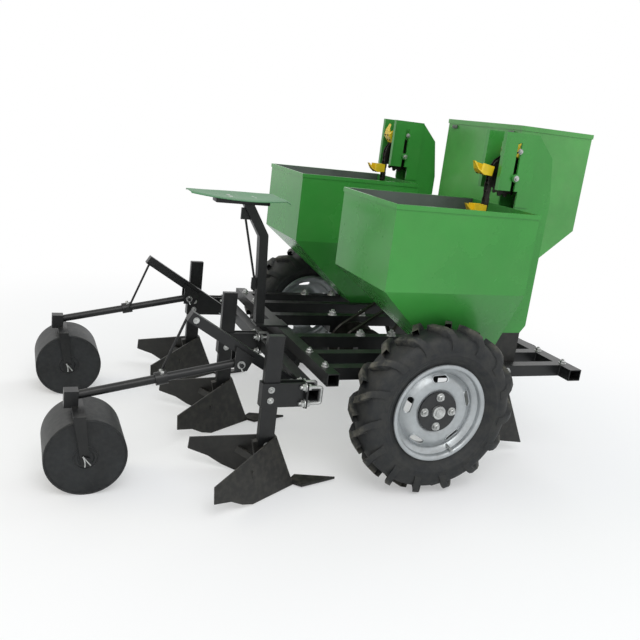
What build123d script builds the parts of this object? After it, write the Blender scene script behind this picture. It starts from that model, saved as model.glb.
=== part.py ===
from build123d import *
import math
import os

os.makedirs("parts", exist_ok=True)

# X forward, Y to the machine's left, Z up, in millimetres. Places along the machine are measured
# from the axle and across it from the centre plane; the saved pieces have their origin on the
# ground at the middle of the machine's length.

# Wheels
hub_height = 279.0
lug_height = 16.0
lug_rows = 15
lug_width = 19.0
lug_root = 54.0
lug_shoulder = 48.0
lug_crown_share = 0.60
lug_lean_share = 0.55
lug_hook_share = 0.30
tyre_facets = 30
tyre_y = 585.0
tyre_half = 68.0
rim_flange_radius = 160.0
rim_flange = 6.0
rim_seat_drop = 10.0
rim_wall = 5.0
rim_well_drop = 28.0
rim_well_half = 22.0
rim_slope = 12.0
disc_thick = 6.0
disc_out = 20.0
disc_step = 14.0
disc_recess = 8.0
vent_count = 5
vent_height = 17.0
vent_reach = 17.0
vent_share = 0.68
hub_radius = 46.0
hub_plate = 8.0
hub_plate_radius = 66.0
hub_bolt_circle = 49.0
hub_bolt_radius = 8.0
hub_bolt_height = 9.0
hub_length = 60.0
axle_radius = 17.5
axle_clearance = 0.05
axle_inner_y = 112.0
section_shares = ((0.10, 0.66), (0.36, 0.93), (0.60, 1.0), (0.78, 0.94), (0.95, 0.67))
disc_shares = (0.62, 0.48, 0.42)

# Frame of square tube
axle_below = 97.0
tube = 40.0
tube_wall = 3.0
beam_inset = 55.0
front_beam_rear = 570.0
front_beam_depth = 50.0
rear_beam_rear = -350.0
inner_rail_y = 135.0
row_inset = 199.0
rail_spread = 70.0
sheet = 3.0
block_length = 150.0
block_height = 28.0
bore_pad = 15.0
nut_radius = 12.0
nut_height = 10.0
post_half_gap = 110.0

# Seed hoppers
hopper_inner_reach = 185.0
hopper_outer_reach = 197.0
hopper_rear = -227.0
hopper_front = 272.0
hopper_depth = 258.0
foot_rear = 102.0
foot_half = 56.0
tyre_gap = 11.0
rim_fold = 14.0
hopper_pass = 6.0

# Cup elevators
head_x = 260.0
head_rise = 96.0
foot_rise = 154.0
sprocket_radius = 58.0
chain_width = 22.0
chain_thick = 10.0
chain_facets = 20
cup_pitch = 125.0
cup_length = 70.0
cup_half = 22.0
cup_height = 34.0
cup_wall = 3.0
cup_phase_shares = {"left": 0.33, "right": 0.89}
cup_side_shares = ((0.0, 0.5), (0.0, -0.4), (0.45, -0.5), (0.75, -0.15), (1.0, 0.5))
cup_plan_shares = ((0.0, 1.0), (0.55, 1.0), (1.0, 0.2))
shaft_radius = 8.0
cheek_half = 44.0
cheek_rise = 142.0
cheek_drop = 42.0
cheek_back = 63.0
cheek_lap = 4.0
strip_gap = 10.0
bracket_thick = 4.0
bracket_flange = 14.0
slot_margin = 30.0
head_nut_radius = 13.0
head_nut_height = 9.0
tube_clear = 24.0
hood_rise = 74.0
hood_low = 68.0
tube_above = 105.0
tube_slant = 26.0
tube_chamfer = 19.0

# Drive from the axle to the elevators' foot shaft
drive_radius = 96.0
drive_thick = 6.0
drive_y = 46.0
drive_end_y = 88.0
lay_radius = 38.0
drive_chain_thick = 8.0
drive_chain_width = 14.0

# Fertiliser box over the front beam
box_gap = 97.0
box_rear = 394.0
box_front = 702.0
box_rise = 800.0
box_wall = 352.0
box_drop = 169.0
box_foot_rear = 450.0
box_foot_front = 500.0
box_rear_drop = 57.0
box_rim = 16.0

# Furrow openers
chute_wall = 4.0
chute_front = 403.0
shoe_rear = 290.0
shoe_top_front = 382.0
shoe_nose = 540.0
shoe_nose_z = 37.0
shoe_heel = 406.0
shoe_heel_z = 60.0
shoe_half = 32.0
nose_half = 4.0
pad_front = 380.0

# Rear tool bar, shanks and ridgers
bar_x = -387.0
bar_drop = 70.0
bar_inset = 62.0
bar_wall = 4.0
shank_depth = 50.0
shank_thick = 22.0
shank_rise = 114.0
shank_foot = 138.0
shank_reach = 114.0
shank_places = {"left": -535.0, "centre": -525.0, "right": -518.0}
collar_plate = 6.0
collar_height = 76.0
collar_spread = 34.0
wing_length = 318.0
wing_height = 166.0
wing_floor = 4.0
wing_ahead = 125.0
wing_plate = 6.0
wing_sweep_share = 0.612
wing_flare_share = 0.287
wing_shares = ((0.29, 1.0), (1.0, 0.566), (1.0, 0.30), (0.818, 0.217), (0.692, 0.08), (0.57, 0.0),
               (0.06, 0.0), (0.085, 0.09))
keel_shares = ((0.29, 1.0), (0.085, 0.09), (0.04, 0.0), (0.42, 0.0), (0.52, 0.9))
share_length = 127.0
share_half = 36.0
share_plate = 8.0
brace_width = 24.0
brace_plate = 6.0
brace_back = 95.0

# Roller arms, their links and ties
pivot_x = -588.0
pivot_drop = 10.0
pivot_radius = 7.0
eye_radius = 17.0
eye_half = 14.0
lug_gap = 19.0
lug_plate = 6.0
link_tube = 32.0
link_foot_drop = 92.0
link_tip_x = -753.0
link_tip_rise = 139.0
arm_radius = 13.0
arm_end_x = -1078.0
arm_over = 37.0
clamp_half = 20.0
roller_x = -1038.0
roller_radius = 116.0
roller_half = 90.0
strap = 6.0
strap_width = 34.0
strap_foot = 22.0
strap_gap = 8.0
yoke_shift = 18.0
roller_pin_radius = 10.0
tie_shift = 27.0
tie_radius = 4.0
tie_back = 236.0
tie_top_drop = 14.0
sleeve_half = 18.0
sleeve_wall = 7.0

# Seat
seat_rise = 454.0
seat_rear = -706.0
seat_front = -335.0
seat_rear_half = 60.0
seat_half = 155.0
seat_front_half = 120.0
seat_dip = 20.0
seat_lip = 32.0
seat_thick = 5.0
post_tube = 32.0
post_foot_x = -410.0
post_knee_x = -427.0
post_knee_rise = 322.0
post_top_x = -506.0
post_plate = 6.0
brace_rod = 4.0
brace_out = 26.0
brace_high_rise = 395.0
brace_low_rise = 150.0

# Three-point hitch
hitch_reach = 56.0
pin_y = 200.0
pin_radius = 11.0
pin_length = 60.0
mast_rise = 352.0
mast_plate = 12.0
top_bore = 9.6

# Sizes that follow from the ones above
overrun = 20.0
tyre_radius = hub_height - lug_height
wall_height = tyre_radius - rim_flange_radius
frame_top = hub_height + axle_below
frame_low = frame_top - tube
row_y = tyre_y - row_inset
beam_half = tyre_y - beam_inset
rail_inner = row_y - rail_spread
rail_outer = row_y + rail_spread
rear_beam_front = rear_beam_rear + tube
front_beam_front = front_beam_rear + front_beam_depth
hopper_inner = row_y - hopper_inner_reach
hopper_outer = row_y + hopper_outer_reach
shoulder_z = hub_height + rim_flange_radius + wall_height * section_shares[2][0]
shoulder_room = tyre_y - tyre_half - tyre_gap - row_y - foot_half
hopper_fold = frame_top + (shoulder_z - frame_top) * (hopper_outer - row_y - foot_half) / shoulder_room
hopper_top = hopper_fold + hopper_depth
head_z = hopper_top + head_rise
foot_z = frame_top + foot_rise
chain_radius = sprocket_radius + chain_thick
cheek_top = head_z + cheek_rise
cheek_low = head_z - cheek_drop
cheek_rear = head_x - cheek_back
cheek_front = head_x + chain_radius + cheek_lap
tube_front = head_x + chain_radius + cup_length + tube_clear
tube_low = frame_top + tube_above
box_half = row_y - cheek_half - box_gap
box_top = frame_top + box_rise
box_fold = box_top - box_wall
box_foot = box_fold - box_drop
bar_z = frame_top - bar_drop
bar_half = tyre_y - bar_inset
shank_y = row_y + shank_reach
shank_top = frame_top + shank_rise
pivot_z = frame_top - pivot_drop
arm_y = row_y
arm_end_z = roller_radius * 2 + arm_over
roller_outer = roller_half + strap_gap
seat_z = frame_top + seat_rise
hitch_x = front_beam_front + hitch_reach
mast_top = frame_top + mast_rise
drive_points = ((0, hub_height), (head_x, foot_z))
drive_radii = (drive_radius, lay_radius)
drive_reach = math.hypot(head_x, foot_z - hub_height)
drive_turn = math.atan2(foot_z - hub_height, head_x) + math.acos((drive_radius - lay_radius) / drive_reach)
middle_x = (roller_x - roller_radius + box_front + sheet) / 2


def block(x0, x1, y0, y1, z0, z1):
    size = (abs(x1 - x0), abs(y1 - y0), abs(z1 - z0))
    return Pos((x0 + x1) / 2, (y0 + y1) / 2, (z0 + z1) / 2) * Box(*size)


def profile_xz(points, y0, y1):
    face = make_face(Polyline(*[(x, 0, z) for x, z in points], close=True))
    return Pos(0, min(y0, y1), 0) * extrude(face, abs(y1 - y0), dir=(0, 1, 0))


def profile_yz(points, x0, x1):
    face = make_face(Polyline(*[(0, y, z) for y, z in points], close=True))
    return Pos(min(x0, x1), 0, 0) * extrude(face, abs(x1 - x0), dir=(1, 0, 0))


def profile_xy(points, z0, z1):
    face = make_face(Polyline(*[(x, y, 0) for x, y in points], close=True))
    return Pos(0, 0, min(z0, z1)) * extrude(face, abs(z1 - z0), dir=(0, 0, 1))


def rod(a, b, radius):
    a, b = Vector(*a), Vector(*b)
    plane = Plane(origin=a, z_dir=(b - a).normalized())
    return extrude(plane * Circle(radius), (b - a).length)


def rod_y(x, z, y0, y1, radius):
    return rod((x, min(y0, y1), z), (x, max(y0, y1), z), radius)


def bar(a, b, width, height):
    a, b = Vector(*a), Vector(*b)
    plane = Plane(origin=a, x_dir=(0, 1, 0), z_dir=(b - a).normalized())
    return extrude(plane * Rectangle(width, height), (b - a).length)


def ring_y(outer, inner, y0, y1, x=0.0, z=0.0):
    return rod_y(x, z, y0, y1, outer) - rod_y(x, z, y0, y1, inner)


def cross_tube(x0, x1, z0, z1, half, wall):
    outer = block(x0, x1, -half, half, z0, z1)
    return outer - block(x0 + wall, x1 - wall, -half, half, z0 + wall, z1 - wall)


def save(name, shape):
    shape = Pos(-middle_x, 0, 0) * shape
    shape.label = name
    export_step(shape, os.path.join("parts", name + ".step"))


# Main frame: two cross beams joined by rails, with two posts for the fertiliser box
def slant_z(x):
    return box_fold - (box_front - x) * box_drop / (box_front - box_foot_front)


def box_post(y):
    x0, x1 = front_beam_front - tube - tube_wall, front_beam_front - tube_wall
    outline = [(x0, frame_top), (x1, frame_top), (x1, slant_z(x1)), (x0, slant_z(x0))]
    return profile_xz(outline, y - tube / 2, y + tube / 2)


def front_beam():
    beam = cross_tube(front_beam_rear, front_beam_front, frame_low, frame_top, beam_half, tube_wall)
    return beam + box_post(post_half_gap) + box_post(-post_half_gap)


def rear_beam():
    return cross_tube(rear_beam_rear, rear_beam_front, frame_low, frame_top, beam_half, tube_wall)


def rail(y):
    y0, y1 = y - tube / 2, y + tube / 2
    outer = block(rear_beam_front, front_beam_rear, y0, y1, frame_low, frame_top)
    return outer - block(rear_beam_front, front_beam_rear, y0 + tube_wall, y1 - tube_wall,
                         frame_low + tube_wall, frame_top - tube_wall)


def axle_block(y):
    y0, y1 = y - tube / 2, y + tube / 2
    half = block_length / 2
    pad = axle_radius + bore_pad
    body = block(-half, half, y0, y1, frame_low - block_height, frame_low)
    body += rod_y(0, hub_height, y0, y1, pad)
    body += block(-pad, pad, y0, y1, hub_height, frame_low)
    body -= rod_y(0, hub_height, y0, y1, axle_radius + axle_clearance)
    for x in (nut_radius - half, half - nut_radius):
        body += rod((x, y, frame_top), (x, y, frame_top + nut_height), nut_radius)
    return body


save("front_beam", front_beam())
save("rear_beam", rear_beam())
save("inner_rails", Compound([rail(inner_rail_y), rail(-inner_rail_y)]))
save("axle_blocks", Compound([axle_block(y) for y in (-rail_outer, -inner_rail_y, inner_rail_y, rail_outer)]))
for name, side in (("left", 1), ("right", -1)):
    save("row_rails_" + name, Compound([rail(side * rail_inner), rail(side * rail_outer)]))


# Drive sprockets and chains between the inner rails
def facet_wheel(x, z, y0, y1, radius, turn):
    plane = Plane(origin=(x, min(y0, y1), z), x_dir=(math.cos(turn), 0, math.sin(turn)), z_dir=(0, 1, 0))
    return extrude(plane * RegularPolygon(radius, chain_facets), abs(y1 - y0))


def belt(points, radii, grow, y0, y1):
    (x0, z0), (x1, z1) = points
    r0, r1 = radii[0] + grow, radii[1] + grow
    reach = math.hypot(x1 - x0, z1 - z0)
    lean = math.acos((r0 - r1) / reach)
    line = math.atan2(z1 - z0, x1 - x0)
    corners = []
    for sign in (1, -1):
        a = line + sign * lean
        near = (x0 + r0 * math.cos(a), z0 + r0 * math.sin(a))
        far = (x1 + r1 * math.cos(a), z1 + r1 * math.sin(a))
        corners += [near, far] if sign > 0 else [far, near]
    shape = profile_xz(corners, y0, y1)
    for (x, z), r in zip(points, (r0, r1)):
        shape += facet_wheel(x, z, y0, y1, r, line + lean)
    return shape


def loop(points, radii, thick, y, width):
    y0, y1 = y - width / 2, y + width / 2
    return belt(points, radii, thick, y0, y1) - belt(points, radii, 0.0, y0, y1)


def drive_sprockets():
    shape = rod_y(0, hub_height, -drive_end_y, drive_end_y, axle_radius)
    for y in (-drive_y, drive_y):
        shape += facet_wheel(0, hub_height, y - drive_thick / 2, y + drive_thick / 2, drive_radius, drive_turn)
        shape += rod_y(0, hub_height, y - drive_thick * 2, y + drive_thick * 2, hub_radius)
    return shape


def lay_shaft():
    shape = rod_y(head_x, foot_z, -row_y, row_y, shaft_radius)
    for y in (-drive_y, drive_y):
        shape += facet_wheel(head_x, foot_z, y - drive_thick / 2, y + drive_thick / 2, lay_radius, drive_turn)
    return shape


save("drive_sprockets", drive_sprockets())
save("lay_shaft", lay_shaft())
save("drive_chain", Compound([loop(drive_points, drive_radii, drive_chain_thick, y, drive_chain_width)
                              for y in (-drive_y, drive_y)]))


# Seed hoppers: folded sheet with a straight upper part and a foot drawn in on three sides
def hopper_form(inset, floor, top):
    side_view = [(foot_rear + inset, floor), (hopper_front - inset, floor), (hopper_front - inset, top),
                 (hopper_rear + inset, top), (hopper_rear + inset, hopper_fold)]
    end_view = [(row_y - foot_half + inset, floor), (row_y + foot_half - inset, floor),
                (hopper_outer - inset, hopper_fold), (hopper_outer - inset, top),
                (hopper_inner + inset, top), (hopper_inner + inset, hopper_fold)]
    return profile_xz(side_view, hopper_inner, hopper_outer) & profile_yz(end_view, hopper_rear, hopper_front)


def seed_hopper(side):
    body = hopper_form(0.0, frame_top, hopper_top)
    x0, x1, y0, y1 = hopper_rear, hopper_front, hopper_inner, hopper_outer
    body += block(x0 - sheet, x1 + sheet, y0 - sheet, y1 + sheet, hopper_top - rim_fold, hopper_top)
    body -= hopper_form(sheet, frame_top + sheet, hopper_top + overrun)
    pass_radius = chain_radius + cup_length + hopper_pass
    window_half = cup_half + hopper_pass
    body -= block(hopper_front - sheet * 2, hopper_front + sheet, row_y - window_half, row_y + window_half,
                  foot_z - pass_radius, foot_z + pass_radius)
    body -= rod_y(head_x, foot_z, hopper_inner, row_y, shaft_radius + sheet)
    return body if side > 0 else mirror(body, about=Plane.XZ)


# Elevator cases: two cheeks with slotted head brackets, and the drop tube before them
def elevator_case(side):
    rim_low = hopper_top - rim_fold
    strip_rear = hopper_front + strip_gap
    outline = [(hopper_front, tube_low), (tube_front - tube_chamfer, tube_low), (tube_front, tube_low + tube_slant),
               (tube_front, head_z - hood_low), (tube_front - tube_clear, head_z + hood_rise),
               (cheek_front, cheek_top), (cheek_rear, cheek_top), (cheek_rear, cheek_low),
               (strip_rear, cheek_low), (strip_rear, rim_low - sheet), (hopper_front, rim_low - sheet)]
    inside = [(cheek_rear - overrun, tube_low - overrun), (tube_front - tube_chamfer - sheet, tube_low - overrun),
              (tube_front - tube_chamfer - sheet, tube_low), (tube_front - sheet, tube_low + tube_slant),
              (tube_front - sheet, head_z - hood_low), (tube_front - tube_clear - sheet, head_z + hood_rise),
              (cheek_front - sheet * 2, cheek_top + overrun), (cheek_rear - overrun, cheek_top + overrun)]
    y0, y1 = row_y - cheek_half, row_y + cheek_half
    shape = profile_xz(outline, y0, y1) - profile_xz(inside, y0 + sheet, y1 - sheet)
    plate = [(cheek_rear, cheek_top), (cheek_front, cheek_top), (cheek_front, hopper_top + cheek_lap),
             (strip_rear, hopper_top + cheek_lap), (strip_rear, cheek_low), (cheek_rear, cheek_low)]
    for y, out in ((y0, -1), (y1, 1)):
        shape += profile_xz(plate, y, y + out * bracket_thick)
        shape += block(cheek_rear, cheek_rear + bracket_thick, y, y + out * bracket_flange, cheek_low, cheek_top)
    slot_half = shaft_radius + axle_clearance
    shape -= block(head_x - slot_half, head_x + slot_half, y0 - overrun, y1 + overrun,
                   cheek_low - sheet, cheek_top - slot_margin)
    outer = cheek_half + bracket_thick + head_nut_height
    shape += rod_y(head_x, head_z, row_y - outer, row_y + outer, shaft_radius)
    for y, out in ((y0, -1), (y1, 1)):
        face = y + out * bracket_thick
        shape += rod_y(head_x, head_z, face, face + out * head_nut_height, head_nut_radius)
    return shape if side > 0 else mirror(shape, about=Plane.XZ)


# Cup chains: one endless chain over two sprockets, with scoop cups at an even pitch
def cup_chain(side):
    points = ((head_x, foot_z), (head_x, head_z))
    middle = sprocket_radius + chain_thick / 2
    shape = loop(points, (sprocket_radius, sprocket_radius), chain_thick, side * row_y, chain_width)
    for x, z in points:
        y0, y1 = side * row_y - chain_width / 4, side * row_y + chain_width / 4
        shape += facet_wheel(x, z, y0, y1, middle, 0.0) - rod_y(x, z, y0, y1, shaft_radius)
    return shape


def cup(y):
    def at(shares, inset):
        return [(-back * (cup_length - inset * 2) - inset, up * cup_height) for back, up in shares]
    side_view = at(cup_side_shares, 0.0)
    hollow = [(x, z + cup_wall) for x, z in at(cup_side_shares, cup_wall)]
    plan = [(-back * cup_length, wide * cup_half) for back, wide in cup_plan_shares]
    plan += [(x, -v) for x, v in plan[::-1]]
    body = profile_xz(side_view, -cup_half, cup_half)
    body -= profile_xz(hollow, cup_wall - cup_half, cup_half - cup_wall)
    return Pos(0, y, 0) * (body & profile_xy(plan, -cup_height, cup_height))


def cup_place(s):
    run, arc = head_z - foot_z, math.pi * chain_radius
    if s < run:
        return head_x - chain_radius, foot_z + s, 0.0
    if s < run + arc:
        a = (s - run) / chain_radius
        return head_x - chain_radius * math.cos(a), head_z + chain_radius * math.sin(a), math.degrees(a)
    if s < run * 2 + arc:
        return head_x + chain_radius, head_z - (s - run - arc), 180.0
    a = (s - run * 2 - arc) / chain_radius
    return head_x + chain_radius * math.cos(a), foot_z - chain_radius * math.sin(a), 180.0 + math.degrees(a)


def cups(name, side):
    length = (head_z - foot_z) * 2 + math.tau * chain_radius
    count = round(length / cup_pitch)
    pitch = length / count
    shapes = []
    for i in range(count):
        x, z, turn = cup_place((i + cup_phase_shares[name]) * pitch)
        shapes.append(Pos(x, 0, z) * Rot(0, turn, 0) * cup(side * row_y))
    return Compound(shapes)


for name, side in (("left", 1), ("right", -1)):
    save("seed_hopper_" + name, seed_hopper(side))
    save("elevator_case_" + name, elevator_case(side))
    save("cup_chain_" + name, cup_chain(side))
    save("cups_" + name, cups(name, side))


# Fertiliser box: an open-topped sheet box with a sloping front and a folded rim
def fertiliser_box():
    rear_fold = box_foot + box_rear_drop
    outline = [(box_rear, box_top), (box_front, box_top), (box_front, box_fold), (box_foot_front, box_foot),
               (box_foot_rear, box_foot), (box_rear, rear_fold)]
    inside = [(box_rear + sheet, box_top + overrun), (box_front - sheet, box_top + overrun),
              (box_front - sheet, box_fold + sheet / 2), (box_foot_front - sheet / 2, box_foot + sheet),
              (box_foot_rear + sheet / 2, box_foot + sheet), (box_rear + sheet, rear_fold + sheet / 2)]
    body = profile_xz(outline, -box_half, box_half)
    body += block(box_rear - sheet, box_front + sheet, -box_half - sheet, box_half + sheet, box_top - box_rim, box_top)
    return body - profile_xz(inside, sheet - box_half, box_half - sheet)


save("fertiliser_box", fertiliser_box())


# Furrow openers: a chute under the drop tube and a shoe whose sides meet at the nose
def furrow_opener(side):
    half = cheek_half
    low = frame_low + chute_wall
    body = block(hopper_front, chute_front, -half, half, frame_low, tube_low)
    body -= block(hopper_front - sheet, chute_front - chute_wall, chute_wall - half, half - chute_wall,
                  low, tube_low + overrun)
    outline = [(shoe_rear, low), (shoe_top_front, low), (shoe_nose, shoe_nose_z), (shoe_heel, shoe_heel_z)]
    shoe = profile_xz(outline, -half, half)
    shoe &= profile_xy([(shoe_rear, shoe_half), (shoe_nose, nose_half), (shoe_nose, -nose_half),
                        (shoe_rear, -shoe_half)], 0.0, low)
    inner = shoe_half - chute_wall
    gap = profile_xy([(shoe_rear - sheet, inner), (shoe_nose - shoe_half, nose_half), (shoe_nose - shoe_half, -nose_half),
                      (shoe_rear - sheet, -inner)], 0.0, low + sheet)
    body = body + shoe - gap
    for hand in (1, -1):
        body += block(shoe_rear, pad_front, hand * half, hand * (rail_spread - tube / 2),
                      frame_low + tube_wall, frame_top - tube_wall)
    return Pos(0, side * row_y, 0) * body


for name, side in (("left", 1), ("right", -1)):
    save("furrow_opener_" + name, furrow_opener(side))


# Hitch: a mast of two cheeks for the top link, and two lugs with pins for the lower links
def hitch_mast():
    low, shoulder = frame_low, mast_top - tube
    outline = [(front_beam_front, low), (front_beam_front, shoulder), (front_beam_front + tube / 2, mast_top),
               (hitch_x + tube / 2, mast_top), (hitch_x + tube / 2, shoulder), (front_beam_front + tube, low)]
    shape = block(front_beam_front, front_beam_front + mast_plate, -tube / 2, tube / 2, low, shoulder)
    for hand in (1, -1):
        shape += profile_xz(outline, hand * tube / 2, hand * (tube / 2 + mast_plate))
    return shape - rod_y(hitch_x, mast_top - tube / 2, -tube, tube, top_bore)


def hitch_lug(side):
    x = hitch_x - tube / 4
    outline = [(front_beam_front, frame_low - tube), (front_beam_front, frame_top), (hitch_x, frame_top - tube / 2),
               (hitch_x + tube / 2, frame_low), (hitch_x, frame_low - tube)]
    lug = profile_xz(outline, side * (pin_y - mast_plate), side * pin_y)
    return lug + rod_y(x, frame_low, side * pin_y, side * (pin_y + pin_length), pin_radius)


save("hitch_mast", hitch_mast())
save("hitch_lugs", Compound([hitch_lug(1), hitch_lug(-1)]))


# Tool bar with its two hangers under the rear beam
def tool_bar():
    z0, z1 = bar_z - tube / 2, bar_z + tube / 2
    shape = cross_tube(bar_x - tube / 2, bar_x + tube / 2, z0, z1, bar_half, bar_wall)
    for y in (-inner_rail_y, inner_rail_y):
        shape += block(bar_x + tube / 2, rear_beam_front, y - tube / 2, y + tube / 2, z0, frame_low)
    return shape


# Shanks: flat bars held in slim collars on the back of the tool bar
def shank(y, x):
    bar_back = bar_x - tube / 2
    back = x - shank_depth / 2 - collar_plate
    half = shank_thick / 2
    z0, z1 = bar_z - collar_height / 2, bar_z + collar_height / 2
    shape = block(x - shank_depth / 2, x + shank_depth / 2, y - half, y + half, shank_foot, shank_top)
    for hand in (1, -1):
        shape += block(back, bar_back, y + hand * half, y + hand * (half + collar_plate), z0, z1)
    shape += block(back, x - shank_depth / 2, y - half, y + half, z0, z1)
    return shape + block(bar_back - collar_plate, bar_back, y - collar_spread, y + collar_spread, z0, z1)


# Ridgers: two swept wings on a keel, a pointed share and a brace to each wing
def wing_place(x, y, back, up, hand):
    nose = x + wing_ahead
    place_x, place_z = nose - back * wing_length, wing_floor + up * wing_height
    start, top = wing_shares[0][0] * wing_length, wing_height
    spread = wing_sweep_share * (back * wing_length - start) + wing_flare_share * (top - up * wing_height)
    return Vector(place_x, y + hand * (shank_thick / 2 + spread), place_z)


def ridger(y, x):
    nose = x + wing_ahead
    half = shank_thick / 2
    keel = [(nose - back * wing_length, wing_floor + up * wing_height) for back, up in keel_shares]
    shape = profile_xz(keel, y - half, y + half)
    for hand in (1, -1):
        points = [wing_place(x, y, back, up, hand) for back, up in wing_shares]
        shape += extrude(make_face(Polyline(*points, close=True)), amount=wing_plate, dir=(0, -hand, 0))
        outer = wing_place(x, y, brace_back / wing_length + wing_shares[0][0], 0.5, hand)
        inner = Vector(x - shank_depth / 2 + brace_plate, y, outer.Z)
        shape += bar(inner, outer, brace_plate, brace_width)
    tip = [(nose + share_length, y), (nose, y + share_half), (nose - share_half, y), (nose, y - share_half)]
    shape += profile_xy(tip, wing_floor, wing_floor + share_plate)
    return shape - block(x - shank_depth / 2, x + shank_depth / 2, y - half, y + half, shank_foot, shank_top)


save("tool_bar", tool_bar())
for name, y in (("left", shank_y), ("centre", 0.0), ("right", -shank_y)):
    save("shank_" + name, shank(y, shank_places[name]))
    save("ridger_" + name, ridger(y, shank_places[name]))


# Lift links: square tubes from the tool bar up over the roller arms, with the arms' pivot lugs
def lift_link(side):
    y = side * arm_y
    foot = (bar_x, y, frame_top - link_foot_drop)
    shape = bar(foot, (link_tip_x, y, frame_top + link_tip_rise), link_tube, link_tube)
    shape -= block(bar_x - tube / 2, bar_x + tube, y - tube, y + tube, bar_z - tube * 2, bar_z + tube * 2)
    for hand in (1, -1):
        y0, y1 = y + hand * lug_gap, y + hand * (lug_gap + lug_plate)
        shape += profile_xz([(pivot_x - tube / 2, pivot_z - tube / 2), (pivot_x + tube / 2, pivot_z - tube / 2),
                             (pivot_x + tube, pivot_z + tube / 2), (pivot_x - tube / 2, pivot_z + tube * 3 / 2)], y0, y1)
        shape += profile_xz([(pivot_x - tube / 2, pivot_z + tube), (pivot_x + tube / 2, pivot_z + tube * 3 / 4),
                             (pivot_x - tube / 2, pivot_z + tube * 3 / 2)], y + hand * link_tube / 2, y1)
    return shape - rod_y(pivot_x, pivot_z, y - tube, y + tube, pivot_radius + axle_clearance)


# Roller arms with their strap yokes, the ties to the links, and the press rollers
def roller_arm(side):
    y = side * arm_y
    shape = rod((pivot_x, y, pivot_z), (arm_end_x, y, arm_end_z), arm_radius)
    shape += rod_y(pivot_x, pivot_z, y - eye_half, y + eye_half, eye_radius)
    pin_half = lug_gap + lug_plate + nut_height
    shape += rod_y(pivot_x, pivot_z, y - pin_half, y + pin_half, pivot_radius)
    yoke_x, top = arm_end_x + yoke_shift, roller_radius * 2 + strap_gap
    shape += block(arm_end_x - clamp_half, arm_end_x + clamp_half, y - clamp_half, y + clamp_half,
                   top, arm_end_z + clamp_half)
    outer = roller_outer + strap
    shape += block(yoke_x - strap_width / 2, yoke_x + strap_width / 2, y - outer, y + outer, top, top + strap)
    leg = [(yoke_x - strap_width / 2, top), (yoke_x + strap_width / 2, top),
           (roller_x + strap_foot / 2, roller_radius - strap_foot), (roller_x - strap_foot / 2, roller_radius - strap_foot)]
    for hand in (1, -1):
        shape += profile_xz(leg, y + hand * roller_outer, y + hand * outer)
    return shape + rod_y(roller_x, roller_radius, y - outer - strap, y + outer + strap, roller_pin_radius)


def lift_tie(side):
    y = side * (arm_y - tie_shift)
    slope = (arm_end_z - pivot_z) / (arm_end_x - pivot_x)
    low = (pivot_x - tie_back, pivot_z - tie_back * slope)
    high = (link_tip_x, frame_top + link_tip_rise - tie_top_drop)
    centre = Vector(low[0], side * arm_y, low[1])
    along = Vector(sleeve_half, 0, sleeve_half * slope)
    sleeve_radius = arm_radius + sleeve_wall
    shape = rod(centre - along, centre + along, sleeve_radius) - rod(centre - along, centre + along, arm_radius)
    shape += rod((low[0], y, low[1]), (high[0], y, high[1]), tie_radius)
    boss = rod_y(low[0], low[1], y - side * tie_radius, side * (arm_y - arm_radius), tie_radius * 2)
    return shape + (boss - rod(centre - along, centre + along, arm_radius))


def roller(side):
    y = side * arm_y
    return ring_y(roller_radius, roller_pin_radius + axle_clearance, y - roller_half, y + roller_half,
                  roller_x, roller_radius)


for name, side in (("left", 1), ("right", -1)):
    save("lift_link_" + name, lift_link(side))
    save("roller_arm_" + name, roller_arm(side))
    save("lift_tie_" + name, lift_tie(side))
    save("roller_" + name, roller(side))


# Seat: a dished pan with a turned-down front lip, on a bent square post with a brace rod
def seat_pan():
    middle = (seat_rear + seat_front) / 2
    low = seat_z - seat_dip
    edges = []
    for drop in (0.0, seat_thick):
        edges.append(ThreePointArc((seat_rear, 0, seat_z - drop), (middle, 0, low - drop), (seat_front, 0, seat_z - drop)))
    band = edges[0] + edges[1]
    band += Line((seat_rear, 0, seat_z), (seat_rear, 0, seat_z - seat_thick))
    band += Line((seat_front, 0, seat_z), (seat_front, 0, seat_z - seat_thick))
    pan = Pos(0, -seat_half, 0) * extrude(make_face(band), seat_half * 2, dir=(0, 1, 0))
    pan += block(seat_front - seat_thick, seat_front, -seat_half, seat_half, seat_z - seat_lip, seat_z)
    plan = Line((seat_rear, -seat_rear_half), (seat_rear, seat_rear_half))
    plan += Line((seat_front, -seat_front_half), (seat_front, seat_front_half))
    for hand in (1, -1):
        plan += ThreePointArc((seat_rear, hand * seat_rear_half), (middle, hand * seat_half),
                              (seat_front, hand * seat_front_half))
    return pan & (Pos(0, 0, seat_z - seat_lip) * extrude(make_face(plan), seat_lip * 2, dir=(0, 0, 1)))


def seat_post():
    foot = (post_foot_x, 0, frame_top)
    knee = (post_knee_x, 0, frame_top + post_knee_rise)
    top = (post_top_x, 0, seat_z)
    shape = bar(foot, knee, post_tube, post_tube) + bar(knee, top, post_tube, post_tube)
    shape += rod_y(knee[0], knee[2], -post_tube / 2, post_tube / 2, post_tube / 2)
    shape += block(post_foot_x - tube / 2, rear_beam_front, -tube, tube, frame_top, frame_top + post_plate)
    lean = (top[0] - knee[0]) / (top[2] - knee[2])
    for rise in (brace_low_rise, brace_high_rise):
        z = frame_top + rise
        x = post_foot_x if rise < post_knee_rise else knee[0] + (z - knee[2]) * lean
        shape += block(x - post_tube / 2 - brace_out, x, -brace_rod, brace_rod, z - tube / 2, z + tube / 2)
    low = (post_foot_x - post_tube / 2 - brace_out / 2, 0, frame_top + brace_low_rise)
    high_x = knee[0] + (frame_top + brace_high_rise - knee[2]) * lean - post_tube / 2 - brace_out / 2
    shape += rod(low, (high_x, 0, frame_top + brace_high_rise), brace_rod)
    return shape - above_seat()


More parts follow.
